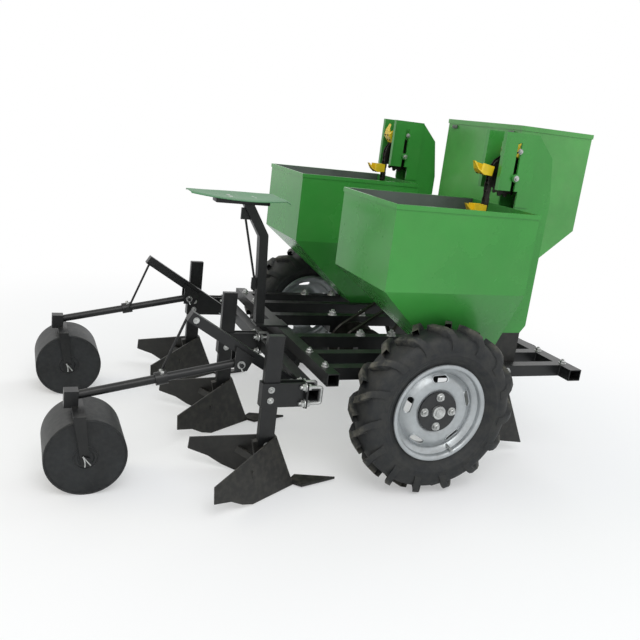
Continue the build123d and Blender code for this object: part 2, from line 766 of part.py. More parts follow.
def above_seat():
    middle = (seat_rear + seat_front) / 2
    under = ThreePointArc((seat_rear, 0, seat_z - seat_thick), (middle, 0, seat_z - seat_dip - seat_thick),
                          (seat_front, 0, seat_z - seat_thick))
    room = under + Polyline((seat_front, 0, seat_z - seat_thick), (seat_front, 0, seat_z + tube),
                            (seat_rear, 0, seat_z + tube), (seat_rear, 0, seat_z - seat_thick))
    return Pos(0, -tube, 0) * extrude(make_face(room), tube * 2, dir=(0, 1, 0))


save("seat_pan", seat_pan())
save("seat_post", seat_post())


# Wheels: lugged tyre, pressed rim with a stepped and vented disc, and a hub with its half axle
def lug(hand, turn):
    lean, hook = tyre_half * lug_lean_share, tyre_half * lug_hook_share
    line = [(0.0, 0.0), (tyre_half / 2, -lean), (tyre_half, -lean - hook)]
    points = [(y, s + lug_width / 2) for y, s in line] + [(y, s - lug_width / 2) for y, s in line[::-1]]
    face = make_face(Polyline(*[(0, hand * y, s) for y, s in points], close=True))
    side_reach = lean + hook + lug_width / 2
    crown_reach = lean + hook * (lug_crown_share * 2 - 1) + lug_width / 2
    top = math.sqrt(hub_height ** 2 - crown_reach ** 2)
    bottom = tyre_radius - lug_root
    bar_form = Pos(bottom, 0, 0) * extrude(face, top - bottom, dir=(1, 0, 0))
    crown, half = hand * tyre_half * lug_crown_share, hand * tyre_half
    edge = [(bottom, 0.0), (top, 0.0), (top, crown), (top - lug_shoulder, half), (bottom, half)]
    start = 90.0 - math.degrees(math.atan2(crown_reach, top))
    return Rot(0, start + turn, 0) * (bar_form & profile_xy(edge, -side_reach, side_reach))


def facet_loft(section):
    rings = [Plane(origin=(0, v, 0), x_dir=(1, 0, 0), z_dir=(0, 1, 0)) * RegularPolygon(r, tyre_facets)
             for r, v in section]
    return loft(rings, ruled=True)


def tyre(side):
    half = [(rim_flange_radius + up * wall_height, wide * tyre_half) for up, wide in section_shares]
    bulge = max(range(len(half)), key=lambda index: half[index][1])
    crown = half[bulge:][::-1]
    body = facet_loft([(r, -v) for r, v in crown[::-1]] + [(tyre_radius, 0.0)] + crown)
    recess = half[:bulge + 1]
    body -= facet_loft(recess) + facet_loft([(r, -v) for r, v in recess[::-1]])
    seat = rim_flange_radius - rim_seat_drop
    bore = Plane(origin=(0, -tyre_half, 0), x_dir=(1, 0, 0), z_dir=(0, 1, 0))
    body -= extrude(bore * RegularPolygon(seat, tyre_facets, major_radius=False), tyre_half * 2)
    pitch = 360.0 / lug_rows
    for index in range(lug_rows):
        body += lug(1, pitch * index) + lug(-1, pitch * (index + 0.5))
    return Pos(0, side * tyre_y, hub_height) * body


def rim(side):
    seat = rim_flange_radius - rim_seat_drop
    well, wide = rim_flange_radius - rim_well_drop, tyre_half * section_shares[0][1] + rim_flange
    half = [(well, rim_well_half), (seat, rim_well_half + rim_slope), (seat, wide - rim_flange),
            (rim_flange_radius, wide - rim_flange), (rim_flange_radius, wide)]
    inner = [(seat - rim_wall, wide), (seat - rim_wall, rim_well_half + rim_slope), (well - rim_wall, rim_well_half)]
    half += inner
    outline = half + [(r, -v) for r, v in half[::-1]]
    shape = revolve(make_face(Polyline(*[(r, v, 0) for r, v in outline], close=True)), Axis.Y)
    radii = [well - rim_wall] + [share * rim_flange_radius for share in disc_shares] + [axle_radius]
    levels = [disc_out, disc_out + disc_step, disc_out + disc_step, disc_out + disc_recess, disc_out + disc_recess]
    front = list(zip(radii, levels))
    face = Polyline(*[(r, v, 0) for r, v in front + [(r, v - disc_thick) for r, v in front[::-1]]], close=True)
    disc = revolve(make_face(face), Axis.Y)
    vent_x, low, high = rim_flange_radius * vent_share, disc_out - disc_thick * 2, disc_out + disc_step + disc_thick
    for index in range(vent_count):
        vent = block(vent_x - vent_height / 2, vent_x + vent_height / 2, low, high, -vent_reach, vent_reach)
        for z in (-vent_reach, vent_reach):
            vent += rod_y(vent_x, z, low, high, vent_height / 2)
        disc -= Rot(0, index * 360.0 / vent_count, 0) * vent
    shape += disc
    return Pos(0, side * tyre_y, hub_height) * (shape if side > 0 else mirror(shape, about=Plane.XZ))


def hub(side):
    front = disc_out + disc_recess
    back = front - disc_thick
    shape = rod_y(0, 0, back - hub_length, back, hub_radius)
    shape += rod_y(0, 0, front, front + hub_plate, hub_plate_radius)
    for angle in (0.0, 90.0, 180.0, 270.0):
        shape += Rot(0, angle, 0) * rod_y(hub_bolt_circle, 0, front, front + hub_plate + hub_bolt_height, hub_bolt_radius)
    shape += rod_y(0, 0, axle_inner_y - tyre_y, front + hub_plate * 2, axle_radius)
    return Pos(0, side * tyre_y, hub_height) * (shape if side > 0 else mirror(shape, about=Plane.XZ))


for name, side in (("left", 1), ("right", -1)):
    save("tyre_" + name, tyre(side))
    save("rim_" + name, rim(side))
    save("hub_" + name, hub(side))
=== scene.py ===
import bpy
import bmesh
import math
from mathutils import Matrix, Vector


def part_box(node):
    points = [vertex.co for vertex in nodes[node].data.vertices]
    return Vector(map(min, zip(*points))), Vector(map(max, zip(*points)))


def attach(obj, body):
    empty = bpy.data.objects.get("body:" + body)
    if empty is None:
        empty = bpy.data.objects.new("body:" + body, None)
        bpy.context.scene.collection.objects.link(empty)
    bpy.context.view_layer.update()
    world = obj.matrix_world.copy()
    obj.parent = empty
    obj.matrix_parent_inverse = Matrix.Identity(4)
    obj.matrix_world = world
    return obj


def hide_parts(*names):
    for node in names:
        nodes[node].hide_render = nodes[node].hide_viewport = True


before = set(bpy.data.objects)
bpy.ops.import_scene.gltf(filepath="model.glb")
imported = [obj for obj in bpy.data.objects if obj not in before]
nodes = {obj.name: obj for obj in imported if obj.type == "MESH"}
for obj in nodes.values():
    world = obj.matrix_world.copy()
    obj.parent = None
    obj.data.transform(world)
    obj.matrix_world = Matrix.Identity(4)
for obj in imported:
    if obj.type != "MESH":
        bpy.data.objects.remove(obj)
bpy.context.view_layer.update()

# Camera: stands behind the machine's right side at chest height, looking forward and a
# little down, with the slight roll of a hand-held camera.
# Places along the machine are measured from the axle, as in the part's source.
rim_low, rim_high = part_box("rim_right")
axle_x = (rim_low[0] + rim_high[0]) / 2.0
axle_z = (rim_low[2] + rim_high[2]) / 2.0


def at(x, y, z):
    return Vector((axle_x + x, y, z))


camera_place = at(-1.234, -2.477, 1.117)
camera_yaw, camera_pitch, camera_roll = (math.radians(a) for a in (66.77, -15.05, 7.11))
camera_lens = 41.94
look = Vector((math.cos(camera_pitch) * math.cos(camera_yaw),
               math.cos(camera_pitch) * math.sin(camera_yaw),
               math.sin(camera_pitch)))
level = Vector((math.sin(camera_yaw), -math.cos(camera_yaw), 0.0))
upright = level.cross(look)
right = math.cos(camera_roll) * level + math.sin(camera_roll) * upright
upward = -math.sin(camera_roll) * level + math.cos(camera_roll) * upright
camera = bpy.data.objects.new("camera", bpy.data.cameras.new("camera"))
camera.data.lens = camera_lens
camera.data.sensor_width = 36.0
camera.matrix_world = Matrix((
    (right.x, upward.x, -look.x, camera_place.x),
    (right.y, upward.y, -look.y, camera_place.y),
    (right.z, upward.z, -look.z, camera_place.z),
    (0.0, 0.0, 0.0, 1.0)))
bpy.context.scene.collection.objects.link(camera)
bpy.context.scene.camera = camera
bpy.context.scene.view_settings.view_transform = "Standard"

# Studio: a plain white floor that keeps a soft shadow near the machine and runs out
# to white, and a pale even sky with three large soft lamps.
floor_half = 9.0
floor_near, floor_far = 1.1, 2.6
floor_form = bmesh.new()
bmesh.ops.create_grid(floor_form, x_segments=1, y_segments=1, size=floor_half)
floor_data = bpy.data.meshes.new("floor")
floor_form.to_mesh(floor_data)
floor_form.free()
floor = bpy.data.objects.new("floor", floor_data)
bpy.context.scene.collection.objects.link(floor)
floor_white = bpy.data.materials.new("floor_white")
floor_white.use_nodes = True
tree = floor_white.node_tree
tree.nodes["Principled BSDF"].inputs["Base Color"].default_value = (0.93, 0.93, 0.93, 1.0)
tree.nodes["Principled BSDF"].inputs["Roughness"].default_value = 0.9
tree.nodes["Principled BSDF"].inputs["Specular IOR Level"].default_value = 0.0
floor_place = tree.nodes.new("ShaderNodeTexCoord")
floor_reach = tree.nodes.new("ShaderNodeVectorMath")
floor_reach.operation = "LENGTH"
floor_fade = tree.nodes.new("ShaderNodeMapRange")
floor_fade.interpolation_type = "SMOOTHSTEP"
floor_fade.inputs["From Min"].default_value = floor_near
floor_fade.inputs["From Max"].default_value = floor_far
floor_fade.inputs["To Min"].default_value = 0.35
floor_rays = tree.nodes.new("ShaderNodeLightPath")
floor_seen = tree.nodes.new("ShaderNodeMath")
floor_seen.operation = "MULTIPLY"
floor_glow = tree.nodes.new("ShaderNodeEmission")
floor_mix = tree.nodes.new("ShaderNodeMixShader")
tree.links.new(floor_place.outputs["Object"], floor_reach.inputs[0])
tree.links.new(floor_reach.outputs["Value"], floor_fade.inputs["Value"])
tree.links.new(floor_fade.outputs["Result"], floor_seen.inputs[0])
tree.links.new(floor_rays.outputs["Is Camera Ray"], floor_seen.inputs[1])
tree.links.new(floor_seen.outputs[0], floor_mix.inputs["Fac"])
tree.links.new(tree.nodes["Principled BSDF"].outputs[0], floor_mix.inputs[1])
tree.links.new(floor_glow.outputs[0], floor_mix.inputs[2])
tree.links.new(floor_mix.outputs[0], tree.nodes["Material Output"].inputs["Surface"])
floor_data.materials.append(floor_white)

world = bpy.data.worlds.new("sky")
bpy.context.scene.world = world
world.use_nodes = True
sky = world.node_tree
sky.nodes.clear()
sky_out = sky.nodes.new("ShaderNodeOutputWorld")
sky_mix = sky.nodes.new("ShaderNodeMixShader")
sky_light = sky.nodes.new("ShaderNodeBackground")
sky_seen = sky.nodes.new("ShaderNodeBackground")
sky_rays = sky.nodes.new("ShaderNodeLightPath")
sky_light.inputs["Color"].default_value = (0.93, 0.96, 1.0, 1.0)
sky_light.inputs["Strength"].default_value = 0.72
sky_seen.inputs["Color"].default_value = (1.0, 1.0, 1.0, 1.0)
sky_seen.inputs["Strength"].default_value = 1.0
sky_either = sky_rays.outputs["Is Camera Ray"]
for kind in ("Is Glossy Ray", "Is Transmission Ray"):
    larger = sky.nodes.new("ShaderNodeMath")
    larger.operation = "MAXIMUM"
    sky.links.new(sky_either, larger.inputs[0])
    sky.links.new(sky_rays.outputs[kind], larger.inputs[1])
    sky_either = larger.outputs[0]
sky.links.new(sky_either, sky_mix.inputs["Fac"])
sky.links.new(sky_light.outputs[0], sky_mix.inputs[1])
sky.links.new(sky_seen.outputs[0], sky_mix.inputs[2])
sky.links.new(sky_mix.outputs[0], sky_out.inputs["Surface"])

lamp_table = (
    ("over_right", (-0.6, -3.2, 3.6), (0.0, 0.0, 0.4), 2.6, 70.0, (1.0, 1.0, 1.0)),
    ("over_rear", (-3.6, 0.6, 2.6), (0.0, 0.0, 0.5), 2.2, 22.0, (1.0, 0.88, 0.55)),
    ("over_front", (2.6, 1.6, 3.4), (0.0, 0.0, 0.5), 2.2, 30.0, (1.0, 1.0, 1.0)),
)
for name, place, target, width, power, tint in lamp_table:
    lamp = bpy.data.objects.new(name, bpy.data.lights.new(name, "AREA"))
    lamp.data.size = width
    lamp.data.energy = power
    lamp.data.color = tint
    lamp.location = place
    lamp.rotation_euler = (Vector(target) - Vector(place)).to_track_quat("-Z", "Y").to_euler()
    bpy.context.scene.collection.objects.link(lamp)


# Frame: square steel tube, welded and sprayed semi-gloss black, with yard dust on what
# faces up. Its bearings hang under the rails on zinc-plated nuts and washers.
def paint(name, colour, rough, mottle=0.12, cloud_scale=5.0, dent=0.25, grain=420.0,
          metal=0.0, dust_and_sheen=None, dust_and_sheen_share=0.5, coat=0.0, gloss=0.5):
    finish = bpy.data.materials.new(name)
    finish.use_nodes = True
    tree = finish.node_tree
    shader = tree.nodes["Principled BSDF"]
    place = tree.nodes.new("ShaderNodeTexCoord")
    cloud = tree.nodes.new("ShaderNodeTexNoise")
    cloud.inputs["Scale"].default_value = cloud_scale
    cloud.inputs["Detail"].default_value = 5.0
    cloud.inputs["Roughness"].default_value = 0.65
    fine = tree.nodes.new("ShaderNodeTexNoise")
    fine.inputs["Scale"].default_value = grain
    fine.inputs["Detail"].default_value = 2.0
    spread = tree.nodes.new("ShaderNodeMapRange")
    spread.inputs["From Min"].default_value = 0.35
    spread.inputs["From Max"].default_value = 0.68
    shade = tree.nodes.new("ShaderNodeMix")
    shade.data_type = "RGBA"
    shade.inputs["A"].default_value = tuple(c * (1.0 - mottle) for c in colour) + (1.0,)
    shade.inputs["B"].default_value = tuple(min(1.0, c * (1.0 + mottle)) for c in colour) + (1.0,)
    for source in (cloud, fine):
        tree.links.new(place.outputs["Object"], source.inputs["Vector"])
    tree.links.new(cloud.outputs[0], spread.inputs["Value"])
    tree.links.new(spread.outputs["Result"], shade.inputs["Factor"])
    seen = shade.outputs["Result"]
    # Faces that point up take a second colour in noise patches. On most finishes this is yard dust; on
    # the green enamel of the hoppers and the fertiliser box it is painted sheen, a painted reflection
    # of sky and sun.
    if dust_and_sheen:
        way = tree.nodes.new("ShaderNodeNewGeometry")
        parts = tree.nodes.new("ShaderNodeSeparateXYZ")
        facing = tree.nodes.new("ShaderNodeMapRange")
        facing.inputs["From Min"].default_value = -0.2
        facing.inputs["To Min"].default_value = 0.15
        patch = tree.nodes.new("ShaderNodeTexNoise")
        patch.inputs["Scale"].default_value = cloud_scale * 6.0
        patch.inputs["Detail"].default_value = 6.0
        patch_spread = tree.nodes.new("ShaderNodeMapRange")
        patch_spread.inputs["From Min"].default_value = 0.42
        patch_spread.inputs["From Max"].default_value = 0.66
        patch_spread.inputs["To Max"].default_value = dust_and_sheen_share
        dust_and_sheen_mask = tree.nodes.new("ShaderNodeMath")
        dust_and_sheen_mask.operation = "MULTIPLY"
        dust_and_sheen_mask.use_clamp = True
        over = tree.nodes.new("ShaderNodeMix")
        over.data_type = "RGBA"
        over.inputs["B"].default_value = tuple(dust_and_sheen) + (1.0,)
        tree.links.new(place.outputs["Object"], patch.inputs["Vector"])
        tree.links.new(way.outputs["Normal"], parts.inputs[0])
        tree.links.new(parts.outputs["Z"], facing.inputs["Value"])
        tree.links.new(patch.outputs[0], patch_spread.inputs["Value"])
        tree.links.new(facing.outputs["Result"], dust_and_sheen_mask.inputs[0])
        tree.links.new(patch_spread.outputs["Result"], dust_and_sheen_mask.inputs[1])
        tree.links.new(dust_and_sheen_mask.outputs[0], over.inputs["Factor"])
        tree.links.new(seen, over.inputs["A"])
        seen = over.outputs["Result"]
    rough_range = tree.nodes.new("ShaderNodeMapRange")
    rough_range.inputs["To Min"].default_value = rough * 0.75
    rough_range.inputs["To Max"].default_value = min(1.0, rough * 1.3)
    bump = tree.nodes.new("ShaderNodeBump")
    bump.inputs["Strength"].default_value = dent
    bump.inputs["Distance"].default_value = 0.0005
    tree.links.new(seen, shader.inputs["Base Color"])
    tree.links.new(cloud.outputs[0], rough_range.inputs["Value"])
    tree.links.new(rough_range.outputs["Result"], shader.inputs["Roughness"])
    tree.links.new(fine.outputs[0], bump.inputs["Height"])
    tree.links.new(bump.outputs["Normal"], shader.inputs["Normal"])
    shader.inputs["Metallic"].default_value = metal
    shader.inputs["Specular IOR Level"].default_value = gloss
    shader.inputs["Coat Weight"].default_value = coat
    shader.inputs["Coat Roughness"].default_value = 0.12
    return finish


def dress(finish, *names):
    for name in names:
        for slot in nodes[name].material_slots:
            slot.material = finish


def piece(name, form, finish, body, sharp=35.0):
    data = bpy.data.meshes.new(name)
    form.to_mesh(data)
    form.free()
    data.materials.append(finish)
    data.shade_smooth()
    data.set_sharp_from_angle(angle=math.radians(sharp))
    made = bpy.data.objects.new(name, data)
    bpy.context.scene.collection.objects.link(made)
    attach(made, body)
    return made


def turned(form, place, axis, steps):
    turn = Vector(axis).to_track_quat("Z", "Y").to_matrix().to_4x4()
    for sides, low, high, near, far in steps:
        made = bmesh.ops.create_cone(form, cap_ends=True, segments=sides, radius1=near, radius2=far,
                                     depth=high - low)["verts"]
        bmesh.ops.translate(form, verts=made, vec=(0.0, 0.0, (low + high) / 2.0))
        bmesh.ops.transform(form, matrix=Matrix.Translation(place) @ turn, verts=made)


def nut(form, place, axis, size):
    turned(form, place, axis, [(6, 0.16 * size, 0.85 * size, size, size),
                               (6, 0.85 * size, 1.0 * size, size, 0.86 * size),
                               (10, 0.9 * size, 1.5 * size, 0.52 * size, 0.48 * size),
                               (20, 0.0, 0.17 * size, 1.32 * size, 1.28 * size)])


frame_top = 0.376
frame_black = paint("frame_black", (0.0085, 0.0092, 0.0095), 0.36, mottle=0.35, cloud_scale=4.0,
                    dust_and_sheen=(0.045, 0.043, 0.038), dust_and_sheen_share=0.30, gloss=0.38)
zinc = paint("zinc_plate", (0.50, 0.51, 0.50), 0.36, mottle=0.25, cloud_scale=60.0, dent=0.3,
             metal=0.85, dust_and_sheen=(0.22, 0.21, 0.19), dust_and_sheen_share=0.4)
dress(frame_black, "front_beam", "rear_beam", "inner_rails", "row_rails_left", "row_rails_right",
      "axle_blocks", "hitch_mast", "hitch_lugs", "tool_bar", "shank_left", "shank_centre",
      "shank_right", "lift_link_left", "lift_link_right", "roller_arm_left", "roller_arm_right",
      "lift_tie_left", "lift_tie_right", "seat_post")
bearing_nut, frame_nut = 0.0142, 0.010
inner_rail_y, row_rail_y, outer_rail_y, rail_side_y = 0.135, 0.316, 0.456, 0.476
form = bmesh.new()
for y in (inner_rail_y, outer_rail_y):
    for hand in (1, -1):
        for x in (-0.063, 0.063):
            nut(form, at(x, hand * y, frame_top), (0, 0, 1), bearing_nut)
for hand in (1, -1):
    for x in (0.30, 0.345):
        nut(form, at(x, hand * rail_side_y, 0.356), (0, hand, 0), frame_nut)
    for x in (-0.33, 0.595):
        nut(form, at(x, hand * outer_rail_y, frame_top), (0, 0, 1), frame_nut)
        nut(form, at(x, hand * row_rail_y, frame_top), (0, 0, 1), frame_nut)
    nut(form, at(0.62, hand * 0.17, 0.352), (1, 0, 0), frame_nut)
piece("frame_nuts", form, zinc, "frame")

# Weld seams: a low bead where each rail meets the cross beams, ground flush on top
# and sprayed with the frame.
form = bmesh.new()
bead, bead_foot, bead_length = 0.0035, 0.340, 0.034
for y in (inner_rail_y, row_rail_y, outer_rail_y):
    for hand in (1, -1):
        for x in (-0.310, 0.570):
            for side in (-1, 1):
                turned(form, at(x, hand * y + side * 0.020, bead_foot), (0, 0, 1),
                       [(8, 0.0, bead_length, bead, bead)])
piece("weld_beads", form, frame_black, "frame")

# Seed hoppers and fertiliser box: steel sheet, cut, folded and sprayed with a glossy
# green enamel; the inside is a duller grey green with the dust of the load.
# The hoppers' pale yellow-green second colour is painted sheen: a painted reflection of sky and sun on
# the enamel, laid mostly on faces that point up.
hopper_green = paint("hopper_green", (0.043, 0.272, 0.044), 0.27, mottle=0.10, cloud_scale=2.2,
                     dent=0.06, grain=240.0, dust_and_sheen=(0.12, 0.24, 0.09), dust_and_sheen_share=0.22, coat=0.15,
                     gloss=0.42)
dress(hopper_green, "seed_hopper_left", "seed_hopper_right", "elevator_case_left",
      "elevator_case_right")
# The fertiliser box's green is a lighter copy of the same enamel, with a paler yellow-green second
# colour. Both are painted sheen, a painted reflection of the bright sky on its walls.
box_green_painted_sheen = paint("box_green_painted_sheen", (0.085, 0.345, 0.078), 0.30, mottle=0.16, cloud_scale=2.6, dent=0.06,
                  grain=240.0, dust_and_sheen=(0.20, 0.33, 0.15), dust_and_sheen_share=0.34, coat=0.15, gloss=0.42)
dress(box_green_painted_sheen, "fertiliser_box")

# Lining: the rear and side walls of each hopper on the inside, where the load has worn
# the enamel dull and grey. It lies just clear of the folded sheet.
inside_green = paint("inside_green", (0.105, 0.130, 0.112), 0.55, mottle=0.25, cloud_scale=3.0,
                     dust_and_sheen=(0.15, 0.15, 0.13), dust_and_sheen_share=0.5)
hopper_top, hopper_fold = 0.9089, 0.6509
liner_gap, liner_drop, liner_thick = 0.0038, 0.0008, 0.0005
hopper_plan = (-0.227, 0.272, 0.201, 0.583)
hopper_foot = (0.106, 0.268, 0.334, 0.438, 0.382)
for hand, name in ((1, "left"), (-1, "right")):
    form = bmesh.new()
    levels = (hopper_foot, hopper_plan + (hopper_fold + 0.002,),
              hopper_plan + (hopper_top - liner_drop,))
    rings = []
    for x0, x1, y0, y1, z in levels:
        gap = liner_gap if x0 < 0 else 0.0
        corners = ((x0 + gap, y0 + gap), (x1 - gap, y0 + gap),
                   (x1 - gap, y1 - gap), (x0 + gap, y1 - gap))
        rings.append([at(x, hand * y, z) for x, y in corners])
    middle = sum((corner for ring_corners in rings for corner in ring_corners), Vector()) / 12.0
    for low_ring, high_ring in zip(rings, rings[1:]):
        for i in (0, 2, 3):
            j = (i + 1) % 4
            outline = (low_ring[i], low_ring[j], high_ring[j], high_ring[i])
            wall = form.faces.new([form.verts.new(corner) for corner in outline])
            wall.normal_update()
            away = wall.normal.dot(wall.calc_center_median() - middle)
            grown = bmesh.ops.extrude_face_region(form, geom=[wall])["geom"]
            raised = [v for v in grown if isinstance(v, bmesh.types.BMVert)]
            bmesh.ops.translate(form, verts=raised, vec=wall.normal * math.copysign(liner_thick, away))
    bmesh.ops.recalc_face_normals(form, faces=form.faces[:])
    piece("hopper_lining_" + name, form, inside_green, "frame")

# Catches high on the fertiliser box's rear wall: two strips of pressed steel, each held
# by two rivets and sprayed over.
catch_y, catch_z, catch_size = 0.19, 1.148, (0.005, 0.034, 0.013)
form = bmesh.new()
for y in (-catch_y, catch_y):
    strip = bmesh.ops.create_cube(form, size=1.0)["verts"]
    bmesh.ops.scale(form, verts=strip, vec=catch_size)
    bmesh.ops.translate(form, verts=strip, vec=at(0.3885, y, catch_z))
bmesh.ops.bevel(form, geom=form.edges[:], offset=0.0016, offset_type="OFFSET", segments=2, profile=0.5,
                affect="EDGES", material=-1)
for y in (-0.20, -0.18, 0.18, 0.20):
    turned(form, at(0.3862, y, catch_z), (-1, 0, 0), [(12, 0.0, 0.0018, 0.0032, 0.0022)])
piece("box_catches", form, inside_green, "frame")

# Cup elevators: an endless roller chain over two toothed wheels, with scoop cups bolted
# to it, between two sheet cheeks. The upper wheel slides in slotted brackets.
chain_steel = paint("chain_steel", (0.035, 0.032, 0.029), 0.42, mottle=0.45, cloud_scale=40.0,
                    metal=0.75, dust_and_sheen=(0.07, 0.055, 0.035), dust_and_sheen_share=0.4)
cup_yellow = paint("cup_yellow", (0.800, 0.560, 0.012), 0.38, mottle=0.12, cloud_scale=18.0,
                   dent=0.15, dust_and_sheen=(0.40, 0.28, 0.06), dust_and_sheen_share=0.3, coat=0.2)
dress(chain_steel, "drive_sprockets", "drive_chain", "lay_shaft")
dress(cup_yellow, "cups_left", "cups_right")
head_x, head_z, foot_z = 0.260, 1.0049, 0.530
row_y = 0.386
pitch_radius = 0.063
chain_run = head_z - foot_z
chain_length = 2.0 * chain_run + math.tau * pitch_radius
link_count = 54
link_pitch = chain_length / link_count
link_reach, link_thick = 0.0072, 0.0022
roller_length, roller_radius = 0.024, 0.0042


def chain_spot(s, radius):
    arc = math.pi * radius
    if s < chain_run:
        return Vector((head_x - radius, 0.0, foot_z + s)), 0.0
    if s < chain_run + arc:
        a = (s - chain_run) / radius
        return Vector((head_x - radius * math.cos(a), 0.0, head_z + radius * math.sin(a))), a
    if s < 2.0 * chain_run + arc:
        return Vector((head_x + radius, 0.0, head_z - (s - chain_run - arc))), math.pi
    a = (s - 2.0 * chain_run - arc) / radius
    x, z = head_x + radius * math.cos(a), foot_z - radius * math.sin(a)
    return Vector((x, 0.0, z)), math.pi + a


def thickened(form, outline, height):
    grown = bmesh.ops.extrude_face_region(form, geom=[outline[0].link_faces[0]])["geom"]
    raised = [v for v in grown if isinstance(v, bmesh.types.BMVert)]
    bmesh.ops.translate(form, verts=raised, vec=(0.0, 0.0, height))
    return list(outline) + raised


def toothed(form, place, teeth, root, tip, thick):
    outline = bmesh.ops.create_circle(form, cap_ends=True, segments=teeth * 4, radius=root)["verts"]
    for number, vert in enumerate(outline):
        if number % 4 in (1, 2):
            vert.co *= tip / root
    every = thickened(form, outline, thick)
    bmesh.ops.translate(form, verts=every, vec=(0.0, 0.0, -thick / 2.0))
    turn = Matrix.Translation(place) @ Matrix.Rotation(math.radians(90.0), 4, "X")
    bmesh.ops.transform(form, matrix=turn, verts=every)


for hand, name in ((1, "left"), (-1, "right")):
    form = bmesh.new()
    for number in range(link_count):
        spot, turn = chain_spot((number + 0.5) * link_pitch, pitch_radius)
        half_y = 0.0105 if number % 2 else 0.0078
        for side in (-1, 1):
            plate = bmesh.ops.create_circle(form, cap_ends=True, segments=10,
                                            radius=link_reach)["verts"]
            for vert in plate:
                vert.co.y += math.copysign(link_pitch / 2.0 - 0.0005, vert.co.y)
            every = thickened(form, plate, link_thick)
            stand = (Matrix.Translation(at(spot.x, hand * row_y + side * half_y, spot.z))
                     @ Matrix.Rotation(turn, 4, "Y") @ Matrix.Rotation(math.radians(90.0), 4, "X"))
            bmesh.ops.transform(form, matrix=stand, verts=every)
        spot, turn = chain_spot(number * link_pitch, pitch_radius)
        turned(form, at(spot.x, hand * row_y - roller_length / 2.0, spot.z), (0, 1, 0),
               [(8, 0.0, roller_length, roller_radius, roller_radius)])
    for z in (foot_z, head_z):
        toothed(form, at(head_x, hand * row_y, z), 16, 0.0575, 0.0665, 0.007)
        turned(form, at(head_x, hand * row_y - 0.024, z), (0, 1, 0), [(20, 0.0, 0.048, 0.020, 0.020)])
    bmesh.ops.recalc_face_normals(form, faces=form.faces[:])
    chain = piece("cup_roller_chain_" + name, form, chain_steel, "frame")
    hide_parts("cup_chain_" + name)

form = bmesh.new()
for hand in (1, -1):
    for side in (-1, 1):
        face_y = hand * row_y + side * 0.048
        turned(form, at(head_x, face_y + side * 0.0088, head_z), (0, side, 0),
               [(6, 0.0, 0.004, 0.0105, 0.0100), (12, 0.004, 0.009, 0.0060, 0.0055)])
        nut(form, at(head_x + 0.005, face_y, head_z + 0.085), (0, side, 0), 0.0068)
piece("elevator_nuts", form, zinc, "frame")

# Cup rivets: steel rivets with domed heads, two pairs under each cup, hold it to its
# strap on the chain.
cup_count, cup_radius = 11, 0.068
cup_pitch = (2.0 * chain_run + math.tau * cup_radius) / cup_count
rivet_table = ((-0.014, -0.0150, (-0.35, 0.0, -1.0)), (-0.036, -0.0158, (-0.2, 0.0, -1.0)))
form = bmesh.new()
for hand, share in ((1, 0.33), (-1, 0.89)):
    for number in range(cup_count):
        place, turn = chain_spot((number + share) * cup_pitch, cup_radius)
        spin = Matrix.Rotation(turn, 3, "Y")
        for side in (-1, 1):
            for back, up, way in rivet_table:
                spot = spin @ Vector((back, side * 0.011, up))
                axis = spin @ Vector(way)
                turned(form, at(place.x + spot.x, hand * row_y + spot.y, place.z + spot.z), axis,
                       [(10, 0.0, 0.0016, 0.0040, 0.0030)])
piece("cup_rivets", form, chain_steel, "frame")

# Soil tools: openers and ridgers of rolled plate, bolted to flat shanks, in satin black
# that the soil has dulled and dusted.
tool_black = paint("tool_black", (0.015, 0.015, 0.0135), 0.46, mottle=0.4, cloud_scale=9.0, dent=0.5,
                   dust_and_sheen=(0.075, 0.070, 0.056), dust_and_sheen_share=0.55, gloss=0.4)
dress(tool_black, "ridger_left", "ridger_centre", "ridger_right", "furrow_opener_left",
      "furrow_opener_right")
shank_table = ((0.500, -0.535), (0.0, -0.525), (-0.500, -0.518))
form = bmesh.new()
for y, x in shank_table:
    for side in (-1, 1):
        for z in (0.110, 0.140):
            nut(form, at(x + 0.004, y + side * 0.0112, z), (0, side, 0), 0.0085)
        for z in (0.290, 0.324):
            nut(form, at(x - 0.002, y + side * 0.017, z), (0, side, 0), 0.0080)
piece("tool_nuts", form, zinc, "frame")


# U-bolts: zinc-plated rod, bent over the tool bar and pulled up with nuts behind the
# shanks' clamp plates.
def bent_rod(name, runs, radius, finish, body, closed=False):
    path = bpy.data.curves.new(name, "CURVE")
    path.dimensions = "3D"
    path.bevel_depth = radius
    path.bevel_resolution = 3
    path.use_fill_caps = True
    for points in runs:
        line = path.splines.new("NURBS")
        line.points.add(len(points) - 1)
        for vert, point in zip(line.points, points):
            vert.co = (point[0], point[1], point[2], 1.0)
        line.use_cyclic_u = closed
        line.use_endpoint_u = not closed
        line.order_u = 3
        line.resolution_u = 6
    source = bpy.data.objects.new(name + "_path", path)
    bpy.context.scene.collection.objects.link(source)
    depsgraph = bpy.context.evaluated_depsgraph_get()
    data = bpy.data.meshes.new_from_object(source.evaluated_get(depsgraph))
    bpy.data.objects.remove(source)
    form = bmesh.new()
    form.from_mesh(data)
    bpy.data.meshes.remove(data)
    return piece(name, form, finish, body)


bolt_end, bolt_bend, bolt_back = -0.432, -0.380, -0.361
bolt_high, bolt_low, bolt_radius = 0.332, 0.280, 0.0052
bolt_line = ((bolt_end, bolt_high), (bolt_bend, bolt_high), (bolt_back, bolt_high), (bolt_back, 0.320),
             (bolt_back, 0.292), (bolt_back, bolt_low), (bolt_bend, bolt_low), (bolt_end, bolt_low))
runs = []
form = bmesh.new()
for y, _ in shank_table:
    for side in (-1, 1):
        v = y + side * (0.0225 if y * side > 0.4 else 0.0270)
        runs.append([at(x, v, z) for x, z in bolt_line])
        for z in (bolt_high, bolt_low):
            nut(form, at(-0.4132, v, z), (-1, 0, 0), 0.0112)
            turned(form, at(-0.4070, v, z), (1, 0, 0), [(6, 0.0, 0.009, 0.0108, 0.0108)])
bent_rod("u_bolts", runs, bolt_radius, zinc, "frame")
piece("u_bolt_nuts", form, zinc, "frame")

